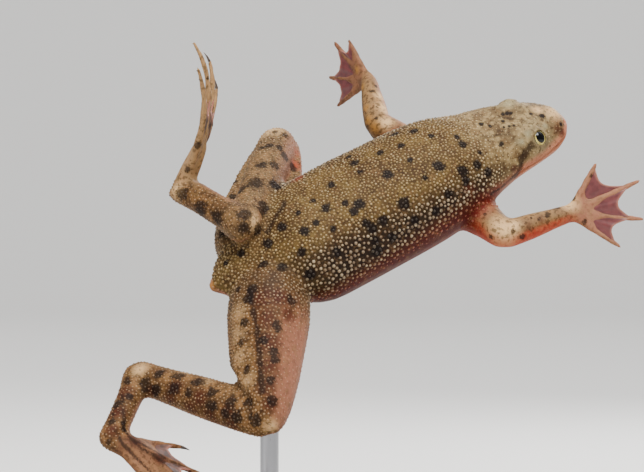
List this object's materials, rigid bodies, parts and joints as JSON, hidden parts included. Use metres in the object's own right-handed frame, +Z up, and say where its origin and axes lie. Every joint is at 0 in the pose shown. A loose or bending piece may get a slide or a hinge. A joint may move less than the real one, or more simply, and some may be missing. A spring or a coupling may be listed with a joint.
{
  "type": "african dwarf frog",
  "caption": "Life-size still model of an African dwarf frog in mid swim, banked towards the viewer, on a plain round display stand with one rod.",
  "frame": {"origin": "centre of the display base's underside", "axes": "+Z up, +X towards the frog's snout side as the picture shows it, so the picture looks along +Y"},
  "size_m": [0.0485, 0.044, 0.0522],
  "materials": {
    "skin": "moist, finely tubercled",
    "webbed_skin": "moist, thin",
    "eye": "polished",
    "claw": "satin",
    "stand_base": "matte",
    "stand_rod": "brushed"
  },
  "bodies": {
    "root": {"head": "skin", "torso": "skin", "eye_l": "eye", "eye_r": "eye", "upper_arm_l": "skin", "forearm_l": "skin", "hand_l": "webbed_skin", "upper_arm_r": "skin", "forearm_r": "skin", "hand_r": "webbed_skin", "thigh_l": "skin", "shank_l": "skin", "tarsus_l": "skin", "foot_l": "webbed_skin", "thigh_r": "skin", "shank_r": "skin", "tarsus_r": "skin", "foot_r": "webbed_skin", "claw_l_1": "claw", "claw_l_2": "claw", "claw_l_3": "claw", "claw_r_1": "claw", "claw_r_2": "claw", "claw_r_3": "claw", "stand_base": "stand_base", "stand_rod": "stand_rod"}
  },
  "joints": []
}
